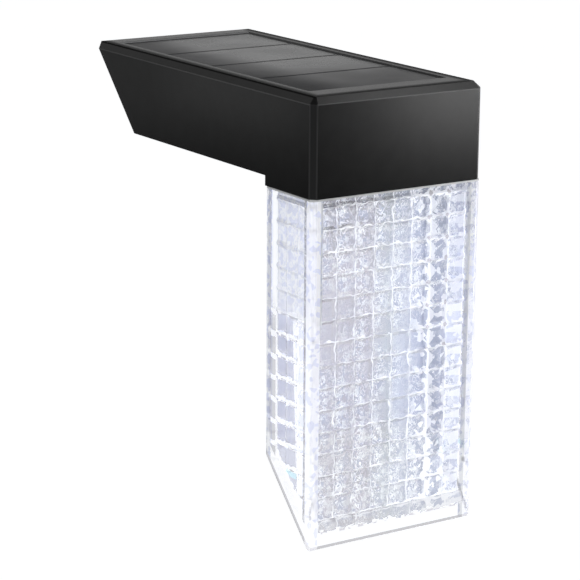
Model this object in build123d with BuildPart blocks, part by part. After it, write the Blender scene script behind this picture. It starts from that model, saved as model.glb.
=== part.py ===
from build123d import *

import os
from math import hypot, radians, tan

os.makedirs("parts", exist_ok=True)

# Solar fence light. Millimetres, +Z up. The origin is the centre of the flat underside that lies on
# the rail. The nose and its lens hang over the rail's front edge, towards -Y. X is left to right.

# ---------------------------------------------------------------- driving sizes
# housing, outside
body_width = 56.0
nose_depth = 23.0  # from the rail's front edge to the front face
tail_overhang = 23.0  # how far the top runs past the underside at the back
arm_height = 24.4
lip_drop = 2.8  # lip under the nose, below the underside
edge_chamfer = 1.9  # along the top
corner_chamfer = 1.5  # down the two front corners

# housing, inside
shell_wall = 2.6  # arm walls above the cover's ledge
rim_wall = 1.4  # arm walls beside the cover
ledge_width = 1.2  # ledge on the partition that the cover's gasket meets
nose_wall = 1.8
roof_thickness = 1.8  # between the panel recess and the inside

# solar panel
recess_margin_front = 10.0  # from the front face to the recess
recess_margin_back = 5.5
recess_margin_side = 5.3
recess_depth = 2.3
panel_gap = 0.2
tape_thickness = 0.5
tape_width = 4.0
solar_board_thickness = 0.8
cell_thickness = 0.25
cell_count = 4
cell_gap = 0.8
cell_border = 1.2
resin_over_cells = 0.35

# base cover
cover_thickness = 2.2
cover_gap = 0.15
gasket_thickness = 0.8
gasket_gap = 0.1
cover_screw_inset_side = 3.4  # from the arm's side walls to the screws
cover_screw_inset_back = 3.58  # from the cover's back edge to the screws
tongue_x = 8.0  # the two tongues that hold the cover's front
tongue_width = 6.0
tongue_thickness = 1.0
tongue_reach = 1.0
tongue_rise = 0.6
tongue_gap = 0.15
rib_thickness = 1.2
rib_height = 1.2

# keyholes for two pan-head rail screws
keyhole_spacing = 34.0
keyhole_head_radius = 4.25
keyhole_slot_radius = 2.2
keyhole_travel = 7.0
pocket_gap = 0.4
pocket_height = 3.4
pocket_wall = 0.8
pocket_roof = 1.0

# screws: self-tapping, their heads sunk in the cover and standing proud on the boards
screw_radius = 1.3
screw_head_radius = 2.6
screw_head_height = 1.5
screw_length = 9.0
screw_sides = 8  # the shanks are plain, without their threads
board_screw_radius = 1.0
board_screw_head_radius = 1.9
board_screw_head_height = 1.2
board_screw_length = 7.0
boss_wall = 1.4
pilot_gap = 0.03
hole_gap = 0.2
cross_width = 0.6
cross_depth = 0.7

# lens
lens_inset = 0.2  # how far its sides and front stand back from the housing's faces
lens_front_height = 99.7
lens_back_height = 76.2
lens_draft = 0.15  # degrees, on the sides and the front
lens_floor = 3.2
lens_edge_radius = 1.0
lens_gasket_thickness = 0.6
collar_wall = 1.4
collar_height = 8.8
collar_gap = 0.15
collar_corner = 1.0  # clipped off the collar's corners and the nose chamber's
tile_columns = 8
tile_height = 6.25
tile_margin = 2.4  # from the shoulder to the first groove
groove_width = 2.0
groove_depth = 0.8
groove_lead = 0.4  # how far the groove cutter starts inside the cavity

# snaps that hold the collar
snap_x = 15.0
snap_width = 6.0
snap_height = 2.0
snap_depth = 1.0
snap_rise = 3.4  # from the shoulder up to the snap
snap_gap = 0.25

# light source
reflector_plate = 1.2
reflector_gap = 0.3
reflector_wall = 1.0
reflector_drop = 5.0
reflector_draft = 24.0  # degrees
led_count = 4
led_pitch = 12.0
led_size = 5.0
led_height = 1.6
led_window_gap = 0.25
led_rim = 0.6  # frame round the phosphor
led_dish_depth = 0.25
led_board_length = 46.0
led_board_width = 11.0
board_thickness = 1.6

# control board
control_board_width = 16.0
control_board_length = 44.0
control_board_rise = 8.4  # from the cover to the board's underside
control_board_wall_gap = 1.5
control_board_y = -2.0
control_screw_inset = 3.2

# push switch
switch_size = 8.0
switch_height = 5.4
switch_y = 8.0
stem_size = 3.0
stem_gap = 0.1
stem_length = 5.6
button_travel = 1.5
button_recess = 0.5  # how far the cap stands back from the underside
cap_radius = 3.2
cap_height = 2.9
cap_flange_radius = 4.2
cap_flange_height = 0.9
cap_socket_depth = 1.8
cap_seal_gap = 0.05
cap_hole_gap = 0.25
seal_width = 1.5
seal_thickness = 1.6
seal_lip = 0.8
seal_seat_gap = 0.05
collar_rim = 1.0  # wall of the switch's collar on the cover

# battery, one AA cell
cell_radius = 7.1
cell_length = 48.9
cell_nub_radius = 2.7
cell_nub_length = 1.1
holder_wall = 1.2
holder_end = 1.0
holder_gap = 0.15
holder_height = 10.0
contact_thickness = 0.4
contact_width = 8.6
contact_height = 12.0
contact_lift = 1.6
leaf_length = 3.6
holder_screw_gap = 0.2
holder_front_room = 5.85  # in front of the holder, for its lead

# leads
lead_radius = 0.6
lead_sides = 4
lead_pitch = 3.0  # between the two leads of a pair
lead_exit = 2.6  # straight run away from a contact or out of a hole
lead_rise = 4.4  # how high a lead bows over its board
lead_slack = 0.6  # how far a bow wanders
lead_clearance = 3.6  # beside the battery holder
solar_lead_shift = 1.8
lamp_lead_shift = 5.0
pad_inset = 1.2  # from a board's or a contact's edge to its solder pads
pad_end_inset = 5.5  # from the board's ends to the battery's pads
lead_hole_width = 6.0
lead_hole_length = 4.0
notch_width = 12.0
notch_height = 5.0

# small parts on the control board
chip_length = 5.0
chip_width = 4.0
chip_height = 1.5
chip_lift = 0.2
chip_legs = 4
chip_leg_pitch = 1.2
chip_leg_width = 0.4
chip_leg_reach = 1.0
coil_size = 5.6
coil_corner = 0.9
coil_height = 3.0
coil_dish_radius = 1.9
coil_dish_depth = 0.3
can_radius = 2.5
can_height = 5.4
can_foot = 5.3
can_foot_corner = 1.1
can_foot_height = 1.0

# ---------------------------------------------------------------- derived places
slant = tail_overhang / arm_height  # how far back the tail leans per mm of height
slant_stretch = hypot(1, slant)
boss_radius = screw_radius + boss_wall
board_boss_radius = board_screw_radius + boss_wall

# the flat underside is as long as the battery holder, the room for its lead in front of it, and
# behind it a screw post and the cover's rim
holder_width = 2 * (cell_radius + holder_gap + holder_wall)
holder_inner = cell_length + cell_nub_length + leaf_length + 2 * contact_thickness
holder_length = holder_inner + 2 * holder_end
front_room = ledge_width + holder_front_room
back_room = holder_screw_gap + boss_radius + cover_screw_inset_back + cover_gap
seat_length = front_room + holder_length + back_room + rim_wall * slant_stretch

half_width = body_width / 2
rail_edge_y = -seat_length / 2
front_y = rail_edge_y - nose_depth
seat_back_y = seat_length / 2
tail_y = seat_back_y + tail_overhang
lip_z = -lip_drop

recess_floor_z = arm_height - recess_depth
ceiling_z = recess_floor_z - roof_thickness
ledge_z = cover_thickness + gasket_thickness
cavity_half = half_width - shell_wall
pocket_half = half_width - rim_wall
cavity_front_y = rail_edge_y + ledge_width

nose_half = half_width - nose_wall
nose_front_y = front_y + nose_wall
nose_back_y = rail_edge_y - nose_wall
nose_mid_y = (nose_front_y + nose_back_y) / 2
nose_length = nose_back_y - nose_front_y


def tail_face(z, wall):
    """Y of the sloping back face at height z, moved inward by a wall."""
    return seat_back_y + slant * z - wall * slant_stretch


# ---------------------------------------------------------------- helpers
ON_TOP = (Align.CENTER, Align.CENTER, Align.MIN)


def clipped(width, length, corner):
    """Corners of a rectangle about its centre, with each of its four corners clipped off."""
    x, y = width / 2, length / 2
    return [
        (x - corner, -y),
        (x, corner - y),
        (x, y - corner),
        (x - corner, y),
        (corner - x, y),
        (-x, y - corner),
        (-x, corner - y),
        (corner - x, -y),
    ]


def screw(radius, head_radius, head_height, length):
    """Cross-recessed screw that points up, with the top of its head at z = 0."""
    with BuildPart() as body:
        Cylinder(head_radius, head_height, align=ON_TOP)
        with BuildSketch():
            RegularPolygon(radius, screw_sides)
        extrude(amount=length)
        with BuildSketch():
            Rectangle(head_radius * 1.2, cross_width)
            Rectangle(cross_width, head_radius * 1.2)
        extrude(amount=cross_depth, mode=Mode.SUBTRACT)
    return body.part


def bend_radii(points):
    """One radius for each corner: 0.45 of the shorter run over the tangent of half the turn."""
    radii = []
    for before, corner, after in zip(points, points[1:], points[2:]):
        first = Vector(*corner) - Vector(*before)
        second = Vector(*after) - Vector(*corner)
        turn = radians(first.get_angle(second))
        radii.append(0.45 * min(first.length, second.length) / tan(turn / 2))
    return radii


def lead(name, points):
    """Insulated lead along a list of points, with round bends."""
    radii = bend_radii(points)
    print(name, "bend radii", [round(radius, 2) for radius in radii])
    with BuildPart() as tube:
        with BuildLine() as route:
            FilletPolyline(*points, radius=radii)
        with BuildSketch(Plane(origin=route.line @ 0, z_dir=route.line % 0)):
            RegularPolygon(lead_radius, lead_sides)
        sweep(path=route.line)
    tube.part.label = name
    export_step(tube.part, f"parts/{name}.step")


# ---------------------------------------------------------------- lens
shoulder_z = lip_z - lens_gasket_thickness
lens_half = half_width - lens_inset
lens_front_y = front_y + lens_inset
lens_back_y = rail_edge_y  # flush with the lip, so that both bear on the rail
collar_half = nose_half - collar_gap
collar_front_y = nose_front_y + collar_gap
collar_back_y = nose_back_y - collar_gap
collar_top_z = shoulder_z + collar_height
inner_half = collar_half - collar_wall
inner_front_y = collar_front_y + collar_wall
inner_back_y = collar_back_y - collar_wall
inner_width = 2 * inner_half
inner_depth = inner_back_y - inner_front_y
floor_slope = (lens_front_height - lens_back_height) / (lens_back_y - lens_front_y)
floor_lift = lens_floor * hypot(1, floor_slope)


def floor_z(y):
    """Height of the lens's sloping floor, outside, at y: low in front, high at the back."""
    return shoulder_z - lens_front_height + floor_slope * (y - lens_front_y)


def tapered_box(half, y_front, y_back, lift):
    """Box under the shoulder, with the floor's slope and with draft on its front and sides."""
    with BuildPart() as box:
        with BuildSketch(Plane.YZ):
            Polygon(
                (y_front, shoulder_z),
                (y_front, floor_z(y_front) + lift),
                (y_back, floor_z(y_back) + lift),
                (y_back, shoulder_z),
                align=None,
            )
        extrude(amount=half, both=True)
        sides = box.faces().filter_by(Axis.X) + box.faces().filter_by(Axis.Y).sort_by(Axis.Y)[:1]
        draft(sides, Plane.XY.offset(shoulder_z), -lens_draft)
    return box.part


def tile_grooves(wall, width, height, columns, room):
    """Crossing V grooves that leave square bevelled tiles on one inner wall of the lens.

    The wall's plane has its origin at the top middle of the wall, x across, y up and z into the
    wall. The room is the space that the grooves may take, so that they end at the corners.
    """
    reach = groove_width / 2 * (groove_depth + groove_lead) / groove_depth
    rows = int((height - tile_margin) / tile_height) + 1
    across = Plane(
        origin=wall.origin - wall.x_dir * (width / 2), x_dir=wall.z_dir, z_dir=wall.x_dir
    )
    down = Plane(
        origin=wall.origin - wall.y_dir * tile_margin, x_dir=wall.x_dir, z_dir=-wall.y_dir
    )
    with BuildPart() as grooves:
        with BuildSketch(across):
            for row in range(rows):
                with Locations((0, tile_margin + row * tile_height)):
                    Polygon(
                        (-groove_lead, -reach), (groove_depth, 0), (-groove_lead, reach), align=None
                    )
        extrude(amount=width)
        with BuildSketch(down):
            for column in range(1, columns):
                with Locations(((column - columns / 2) * width / columns, 0)):
                    Polygon(
                        (-reach, -groove_lead), (0, groove_depth), (reach, -groove_lead), align=None
                    )
        extrude(amount=height - tile_margin)
        add(room, mode=Mode.INTERSECT)
    return grooves.part


draft_rise = tan(radians(lens_draft))
inner_mid_y = (inner_front_y + inner_back_y) / 2
side_columns = round(inner_depth / (inner_width / tile_columns))
front_height = shoulder_z - floor_z(inner_front_y) - floor_lift
back_height = shoulder_z - floor_z(inner_back_y) - floor_lift
front_wall = Plane(
    origin=(0, inner_front_y, shoulder_z), x_dir=(1, 0, 0), z_dir=(0, -1, -draft_rise)
)
back_wall = Plane(origin=(0, inner_back_y, shoulder_z), x_dir=(-1, 0, 0), z_dir=(0, 1, 0))
right_wall = Plane(
    origin=(inner_half, inner_mid_y, shoulder_z), x_dir=(0, 1, 0), z_dir=(1, 0, -draft_rise)
)
front_grooves = tile_grooves(
    front_wall,
    inner_width,
    front_height,
    tile_columns,
    tapered_box(inner_half, inner_front_y - 2 * groove_depth, inner_back_y, floor_lift),
)
back_grooves = tile_grooves(
    back_wall,
    inner_width,
    back_height,
    tile_columns,
    tapered_box(inner_half, inner_front_y, inner_back_y + 2 * groove_depth, floor_lift),
)
right_grooves = tile_grooves(
    right_wall,
    inner_depth,
    front_height,
    side_columns,
    tapered_box(inner_half + 2 * groove_depth, inner_front_y, inner_back_y, floor_lift),
)

snap_z = shoulder_z + snap_rise
snap_sides = [(nose_front_y, 1), (nose_back_y, -1)]

with BuildPart() as lens:
    add(tapered_box(lens_half, lens_front_y, lens_back_y, 0))
    outer_edges = lens.edges().filter_by(lambda edge: edge.center().Z < shoulder_z - lens_edge_radius)
    fillet(outer_edges, lens_edge_radius)
    # collar that plugs into the nose
    with BuildSketch(Plane.XY.offset(shoulder_z)):
        with Locations((0, (collar_front_y + collar_back_y) / 2)):
            Polygon(*clipped(2 * collar_half, collar_back_y - collar_front_y, collar_corner))
    extrude(amount=collar_height)
    with BuildSketch(Plane.XY.offset(shoulder_z)):
        with Locations((0, inner_mid_y)):
            Rectangle(inner_width, inner_depth)
    extrude(amount=collar_height, mode=Mode.SUBTRACT)
    add(tapered_box(inner_half, inner_front_y, inner_back_y, floor_lift), mode=Mode.SUBTRACT)
    add(front_grooves, mode=Mode.SUBTRACT)
    add(back_grooves, mode=Mode.SUBTRACT)
    add(right_grooves, mode=Mode.SUBTRACT)
    add(mirror(right_grooves, about=Plane.YZ, mode=Mode.PRIVATE), mode=Mode.SUBTRACT)
    # windows for the housing's snaps
    with BuildSketch(Plane.XZ.offset(-nose_back_y)):
        with Locations((-snap_x, snap_z + snap_height / 2), (snap_x, snap_z + snap_height / 2)):
            Rectangle(snap_width + 2 * snap_gap, snap_height + 2 * snap_gap)
    extrude(amount=nose_length, mode=Mode.SUBTRACT)
lens.part.label = "lens"
export_step(lens.part, "parts/lens.step")

# seal between the lens's shoulder and the lip
with BuildPart() as lens_gasket:
    with BuildSketch(Plane.XY.offset(shoulder_z)):
        with Locations((0, (lens_front_y + lens_back_y) / 2)):
            RectangleRounded(2 * lens_half, lens_back_y - lens_front_y, lens_edge_radius)
        with Locations((0, nose_mid_y)):
            Polygon(*clipped(2 * nose_half, nose_length, collar_corner), mode=Mode.SUBTRACT)
    extrude(amount=lens_gasket_thickness)
lens_gasket.part.label = "lens_gasket"
export_step(lens_gasket.part, "parts/lens_gasket.step")

# ---------------------------------------------------------------- housing
cover_front_y = rail_edge_y + cover_gap
cover_half = pocket_half - cover_gap
cover_screw_y = tail_face(0, rim_wall) - cover_gap - cover_screw_inset_back
cover_screw_x = cavity_half - cover_screw_inset_side
cover_screw_places = [(-cover_screw_x, cover_screw_y), (cover_screw_x, cover_screw_y)]
tongue_z = tongue_rise + tongue_thickness / 2
tongue_places = [(-tongue_x, tongue_z), (tongue_x, tongue_z)]

flange_top_z = collar_top_z + reflector_plate
led_board_top_z = flange_top_z + board_thickness
led_places = [((index - (led_count - 1) / 2) * led_pitch, nose_mid_y) for index in range(led_count)]
led_screw_places = [(-led_pitch, nose_mid_y), (led_pitch, nose_mid_y)]

control_board_z = cover_thickness + control_board_rise
control_board_top_z = control_board_z + board_thickness
control_board_x = cavity_half - control_board_wall_gap - control_board_width / 2
control_board_front_y = control_board_y - control_board_length / 2
control_board_back_y = control_board_y + control_board_length / 2
control_screw_places = [
    (control_board_x, control_board_front_y + control_screw_inset),
    (control_board_x, control_board_back_y - control_screw_inset),
]
lead_hole_x = control_board_x - control_board_width / 4
lead_hole_y = control_board_y - control_board_length / 4
recess_width = body_width - 2 * recess_margin_side
recess_front_y = front_y + recess_margin_front
recess_length = tail_y - recess_margin_back - recess_front_y
recess_mid_y = recess_front_y + recess_length / 2
notch_z = ceiling_z - notch_height / 2

with BuildPart() as top_housing:
    with BuildSketch(Plane.YZ):
        Polygon(
            (front_y, lip_z),
            (front_y, arm_height),
            (tail_y, arm_height),
            (seat_back_y, 0),
            (rail_edge_y, 0),
            (rail_edge_y, lip_z),
            align=None,
        )
    extrude(amount=half_width, both=True)
    front_corners = top_housing.faces().filter_by(Axis.Y).sort_by(Axis.Y)[0].edges().filter_by(Axis.Z)
    chamfer(front_corners, corner_chamfer)
    top_edges = top_housing.faces().sort_by(Axis.Z)[-1].edges().sort_by(Axis.Y)[:-1]
    chamfer(top_edges, edge_chamfer)
    # arm chamber, and the wider pocket below it for the cover and its gasket
    with BuildSketch(Plane.YZ):
        Polygon(
            (cavity_front_y, 0),
            (cavity_front_y, ceiling_z),
            (tail_face(ceiling_z, shell_wall), ceiling_z),
            (tail_face(0, shell_wall), 0),
            align=None,
        )
    extrude(amount=cavity_half, both=True, mode=Mode.SUBTRACT)
    with BuildSketch(Plane.YZ):
        Polygon(
            (rail_edge_y, 0),
            (rail_edge_y, ledge_z),
            (tail_face(ledge_z, rim_wall), ledge_z),
            (tail_face(0, rim_wall), 0),
            align=None,
        )
    extrude(amount=pocket_half, both=True, mode=Mode.SUBTRACT)
    # nose chamber
    with BuildSketch(Plane.XY.offset(lip_z)):
        with Locations((0, nose_mid_y)):
            Polygon(*clipped(2 * nose_half, nose_length, collar_corner))
    extrude(amount=ceiling_z - lip_z, mode=Mode.SUBTRACT)
    # slots in the partition for the cover's tongues
    with BuildSketch(Plane.XZ.offset(-rail_edge_y)):
        with Locations(*tongue_places):
            Rectangle(tongue_width + 2 * tongue_gap, tongue_thickness + 2 * tongue_gap)
    extrude(amount=tongue_reach + tongue_gap, mode=Mode.SUBTRACT)
    # notch in the partition for the lamp's leads
    with BuildSketch(Plane.XZ.offset(-nose_mid_y)):
        with Locations((control_board_x - notch_width / 2, notch_z)):
            Rectangle(notch_width, notch_height)
    extrude(amount=nose_mid_y - control_board_front_y, mode=Mode.SUBTRACT)
    # posts for the cover's screws, each with a web to the side wall
    with BuildSketch(Plane.XY.offset(cover_thickness)):
        with Locations(*cover_screw_places):
            Circle(boss_radius)
    extrude(amount=ceiling_z - cover_thickness)
    with BuildSketch(Plane.XY.offset(ledge_z)):
        for x, y in cover_screw_places:
            side = 1 if x > 0 else -1
            with Locations((side * (cover_screw_x + cavity_half) / 2, y)):
                Rectangle(cavity_half - cover_screw_x, rib_thickness)
    extrude(amount=ceiling_z - ledge_z)
    with BuildSketch(Plane.XY.offset(cover_thickness)):
        with Locations(*cover_screw_places):
            Circle(screw_radius + pilot_gap)
    extrude(amount=screw_length, mode=Mode.SUBTRACT)
    # posts for the lamp board and the control board
    with BuildSketch(Plane.XY.offset(led_board_top_z)):
        with Locations(*led_screw_places):
            Rectangle(2 * board_boss_radius, 2 * board_boss_radius)
    extrude(amount=ceiling_z - led_board_top_z)
    with BuildSketch(Plane.XY.offset(led_board_top_z)):
        with Locations(*led_screw_places):
            Circle(board_screw_radius + pilot_gap)
    extrude(amount=board_screw_length, mode=Mode.SUBTRACT)
    with BuildSketch(Plane.XY.offset(control_board_top_z)):
        with Locations(*control_screw_places):
            Rectangle(2 * board_boss_radius, 2 * board_boss_radius)
    extrude(amount=ceiling_z - control_board_top_z)
    with BuildSketch(Plane.XY.offset(control_board_top_z)):
        with Locations(*control_screw_places):
            Circle(board_screw_radius + pilot_gap)
    extrude(amount=board_screw_length, mode=Mode.SUBTRACT)
    # snaps that hold the lens's collar: a ramp below and a flat ledge on top
    for wall_y, inward in snap_sides:
        for x in (-snap_x, snap_x):
            with BuildSketch(Plane.YZ.offset(x - snap_width / 2)):
                Polygon(
                    (wall_y, snap_z),
                    (wall_y + inward * snap_depth, snap_z + snap_height * 0.6),
                    (wall_y + inward * snap_depth, snap_z + snap_height),
                    (wall_y, snap_z + snap_height),
                    align=None,
                )
            extrude(amount=snap_width)
    # recess for the solar panel, with a hole for its leads
    with BuildSketch(Plane.XY.offset(recess_floor_z)):
        with Locations((0, recess_mid_y)):
            Rectangle(recess_width, recess_length)
    extrude(amount=recess_depth, mode=Mode.SUBTRACT)
    with BuildSketch(Plane.XY.offset(ceiling_z)):
        with Locations((lead_hole_x, lead_hole_y)):
            Rectangle(lead_hole_width, lead_hole_length)
    extrude(amount=roof_thickness, mode=Mode.SUBTRACT)
top_housing.part.label = "top_housing"
export_step(top_housing.part, "parts/top_housing.step")

# ---------------------------------------------------------------- solar panel
panel_width = recess_width - 2 * panel_gap
panel_length = recess_length - 2 * panel_gap
tape_top_z = recess_floor_z + tape_thickness
solar_board_top_z = tape_top_z + solar_board_thickness
cell_width = panel_width - 2 * cell_border
cell_pitch = (panel_length - 2 * cell_border + cell_gap) / cell_count
solar_cell_length = cell_pitch - cell_gap
cell_places = [
    (0, recess_mid_y + (index - (cell_count - 1) / 2) * cell_pitch) for index in range(cell_count)
]

with BuildPart() as panel_tape:
    with BuildSketch(Plane.XY.offset(recess_floor_z)):
        with Locations((0, recess_mid_y)):
            Rectangle(panel_width, panel_length)
            Rectangle(
                panel_width - 2 * tape_width, panel_length - 2 * tape_width, mode=Mode.SUBTRACT
            )
    extrude(amount=tape_thickness)
panel_tape.part.label = "panel_tape"
export_step(panel_tape.part, "parts/panel_tape.step")

with BuildPart() as solar_board:
    with BuildSketch(Plane.XY.offset(tape_top_z)):
        with Locations((0, recess_mid_y)):
            Rectangle(panel_width, panel_length)
    extrude(amount=solar_board_thickness)
solar_board.part.label = "solar_board"
export_step(solar_board.part, "parts/solar_board.step")

with BuildPart() as solar_cells:
    with BuildSketch(Plane.XY.offset(solar_board_top_z)):
        with Locations(*cell_places):
            Rectangle(cell_width, solar_cell_length)
    extrude(amount=cell_thickness)
solar_cells.part.label = "solar_cells"
export_step(solar_cells.part, "parts/solar_cells.step")

# clear resin, cast over the cells and down between them
with BuildPart() as panel_resin:
    with BuildSketch(Plane.XY.offset(solar_board_top_z)):
        with Locations((0, recess_mid_y)):
            Rectangle(panel_width, panel_length)
    extrude(amount=cell_thickness + resin_over_cells)
    with BuildSketch(Plane.XY.offset(solar_board_top_z)):
        with Locations(*cell_places):
            Rectangle(cell_width, solar_cell_length)
    extrude(amount=cell_thickness, mode=Mode.SUBTRACT)
panel_resin.part.label = "panel_resin"
export_step(panel_resin.part, "parts/panel_resin.step")

# ---------------------------------------------------------------- base cover
keyhole_places = [(0, -keyhole_spacing / 2), (0, keyhole_spacing / 2)]
pocket_width = 2 * (keyhole_head_radius + pocket_gap)
pocket_length = keyhole_travel + pocket_width
switch_place = (control_board_x, switch_y)
seal_radius = cap_radius + cap_seal_gap + seal_width
seal_seat_radius = seal_radius + seal_seat_gap
cap_top_z = button_recess + cap_height

with BuildPart() as base_cover:
    with BuildSketch(Plane.YZ):
        Polygon(
            (cover_front_y, 0),
            (cover_front_y, cover_thickness),
            (tail_face(cover_thickness, rim_wall) - cover_gap, cover_thickness),
            (tail_face(0, rim_wall) - cover_gap, 0),
            align=None,
        )
    extrude(amount=cover_half, both=True)
    # tongues that hook into the partition
    with BuildSketch(Plane.XZ.offset(-cover_front_y)):
        with Locations(*tongue_places):
            Rectangle(tongue_width, tongue_thickness)
    extrude(amount=cover_gap + tongue_reach)
    # closed pockets over the keyholes, for the heads of the rail screws
    with BuildSketch(Plane.XY.offset(cover_thickness)):
        with Locations(*keyhole_places):
            Rectangle(pocket_width + 2 * pocket_wall, pocket_length + 2 * pocket_wall)
    extrude(amount=pocket_height + pocket_roof)
    with BuildSketch(Plane.XY.offset(cover_thickness)):
        with Locations(*keyhole_places):
            Rectangle(pocket_width, pocket_length)
    extrude(amount=pocket_height, mode=Mode.SUBTRACT)
    with BuildSketch():
        with Locations(*keyhole_places):
            SlotCenterToCenter(keyhole_travel, 2 * keyhole_slot_radius, rotation=90)
        with Locations(*[(x, y + keyhole_travel / 2) for x, y in keyhole_places]):
            Circle(keyhole_head_radius)
    extrude(amount=cover_thickness, mode=Mode.SUBTRACT)
    # collar for the push button and its seal
    with BuildSketch(Plane.XY.offset(cover_thickness)):
        with Locations(switch_place):
            Circle(seal_seat_radius + collar_rim)
    extrude(amount=cap_top_z - cover_thickness)
    # ribs between the pockets, and from there to the collar
    with BuildSketch(Plane.XY.offset(cover_thickness)):
        Rectangle(rib_thickness, keyhole_spacing - pocket_length)
        with Locations((control_board_x / 2 - seal_seat_radius / 2, switch_y)):
            Rectangle(control_board_x - seal_seat_radius - collar_rim, rib_thickness)
    extrude(amount=rib_height)
    with BuildSketch(Plane.XY.offset(seal_lip)):
        with Locations(switch_place):
            Circle(seal_seat_radius)
    extrude(amount=cap_top_z - seal_lip, mode=Mode.SUBTRACT)
    with BuildSketch():
        with Locations(switch_place):
            Circle(cap_radius + cap_hole_gap)
    extrude(amount=cover_thickness, mode=Mode.SUBTRACT)
    # holes for the cover's screws, with their heads sunk
    with BuildSketch():
        with Locations(*cover_screw_places):
            Circle(screw_head_radius + hole_gap)
    extrude(amount=screw_head_height, mode=Mode.SUBTRACT)
    with BuildSketch():
        with Locations(*cover_screw_places):
            Circle(screw_radius + hole_gap)
    extrude(amount=cover_thickness, mode=Mode.SUBTRACT)
base_cover.part.label = "base_cover"
export_step(base_cover.part, "parts/base_cover.step")

gasket_front_y = rail_edge_y + gasket_gap
gasket_back_y = tail_face(cover_thickness, rim_wall) - cover_gap
inner_gasket_back_y = tail_face(ledge_z, shell_wall)

with BuildPart() as base_gasket:
    with BuildSketch(Plane.XY.offset(cover_thickness)):
        with Locations((0, (gasket_front_y + gasket_back_y) / 2)):
            Rectangle(2 * (pocket_half - gasket_gap), gasket_back_y - gasket_front_y)
        with Locations((0, (cavity_front_y + inner_gasket_back_y) / 2)):
            Rectangle(
                2 * cavity_half, inner_gasket_back_y - cavity_front_y, mode=Mode.SUBTRACT
            )
    extrude(amount=gasket_thickness)
base_gasket.part.label = "base_gasket"
export_step(base_gasket.part, "parts/base_gasket.step")

cover_screw = screw(screw_radius, screw_head_radius, screw_head_height, screw_length)
with BuildPart() as cover_screws:
    with Locations(*[(x, y, 0) for x, y in cover_screw_places]):
        add(cover_screw)
cover_screws.part.label = "cover_screws"
export_step(cover_screws.part, "parts/cover_screws.step")

# ---------------------------------------------------------------- light source
board_screw = screw(
    board_screw_radius, board_screw_head_radius, board_screw_head_height, board_screw_length
)
tray_width = nose_length - 2 * reflector_gap
tray_length = 2 * nose_half - 2 * reflector_gap
mouth_length = inner_width - 2 * reflector_gap
mouth_width = inner_depth - 2 * reflector_gap

# white tray: a flange on the lens's collar, and a skirt that widens down into the lens
with BuildPart() as reflector:
    with BuildSketch(Plane.XY.offset(collar_top_z)):
        with Locations((0, nose_mid_y)):
            Polygon(*clipped(tray_length, tray_width, collar_corner))
    extrude(amount=reflector_plate)
    with BuildSketch(Plane.XY.offset(collar_top_z - reflector_drop)):
        with Locations((0, inner_mid_y)):
            Rectangle(mouth_length, mouth_width)
    extrude(amount=reflector_drop, taper=reflector_draft)
    with BuildSketch(Plane.XY.offset(collar_top_z - reflector_drop)):
        with Locations((0, inner_mid_y)):
            Rectangle(mouth_length - 2 * reflector_wall, mouth_width - 2 * reflector_wall)
    extrude(amount=reflector_drop, taper=reflector_draft, mode=Mode.SUBTRACT)
    with BuildSketch(Plane.XY.offset(collar_top_z)):
        with Locations(*led_places):
            Rectangle(led_size + 2 * led_window_gap, led_size + 2 * led_window_gap)
        with Locations(*led_screw_places):
            Circle(board_screw_radius + hole_gap)
    extrude(amount=reflector_plate, mode=Mode.SUBTRACT)
reflector.part.label = "reflector"
export_step(reflector.part, "parts/reflector.step")

with BuildPart() as led_board:
    with BuildSketch(Plane.XY.offset(flange_top_z)):
        with Locations((0, nose_mid_y)):
            Rectangle(led_board_length, led_board_width)
        with Locations(*led_screw_places):
            Circle(board_screw_radius + hole_gap, mode=Mode.SUBTRACT)
    extrude(amount=board_thickness)
led_board.part.label = "led_board"
export_step(led_board.part, "parts/led_board.step")

# chips that face down, each with a shallow dish of phosphor
with BuildPart() as led_chips:
    with BuildSketch(Plane.XY.offset(flange_top_z - led_height)):
        with Locations(*led_places):
            Rectangle(led_size, led_size)
    extrude(amount=led_height)
    with BuildSketch(Plane.XY.offset(flange_top_z - led_height)):
        with Locations(*led_places):
            Rectangle(led_size - 2 * led_rim, led_size - 2 * led_rim)
    extrude(amount=led_dish_depth, mode=Mode.SUBTRACT)
led_chips.part.label = "led_chips"
export_step(led_chips.part, "parts/led_chips.step")

with BuildPart() as led_board_screws:
    with Locations(*[(x, y, collar_top_z - board_screw_head_height) for x, y in led_screw_places]):
        add(board_screw)
led_board_screws.part.label = "led_board_screws"
export_step(led_board_screws.part, "parts/led_board_screws.step")

# ---------------------------------------------------------------- control board
with BuildPart() as control_board:
    with BuildSketch(Plane.XY.offset(control_board_z)):
        with Locations((control_board_x, control_board_y)):
            Rectangle(control_board_width, control_board_length)
        with Locations(*control_screw_places):
            Circle(board_screw_radius + hole_gap, mode=Mode.SUBTRACT)
    extrude(amount=board_thickness)
control_board.part.label = "control_board"
export_step(control_board.part, "parts/control_board.step")

with BuildPart() as control_board_screws:
    with Locations(
        *[(x, y, control_board_z - board_screw_head_height) for x, y in control_screw_places]
    ):
        add(board_screw)
control_board_screws.part.label = "control_board_screws"
export_step(control_board_screws.part, "parts/control_board_screws.step")

chip_place = (control_board_x, control_board_y)
with BuildPart() as control_chip:
    with BuildSketch(Plane.XY.offset(control_board_top_z + chip_lift)):
        with Locations(chip_place):
            Rectangle(chip_width, chip_length)
    extrude(amount=chip_height)
    with BuildSketch(Plane.XY.offset(control_board_top_z)):
        with Locations(chip_place):
            with GridLocations(chip_width + chip_leg_reach, chip_leg_pitch, 2, chip_legs):
                Rectangle(2 * chip_leg_reach, chip_leg_width)
    extrude(amount=chip_lift + chip_height / 3)
control_chip.part.label = "control_chip"
export_step(control_chip.part, "parts/control_chip.step")

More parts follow.
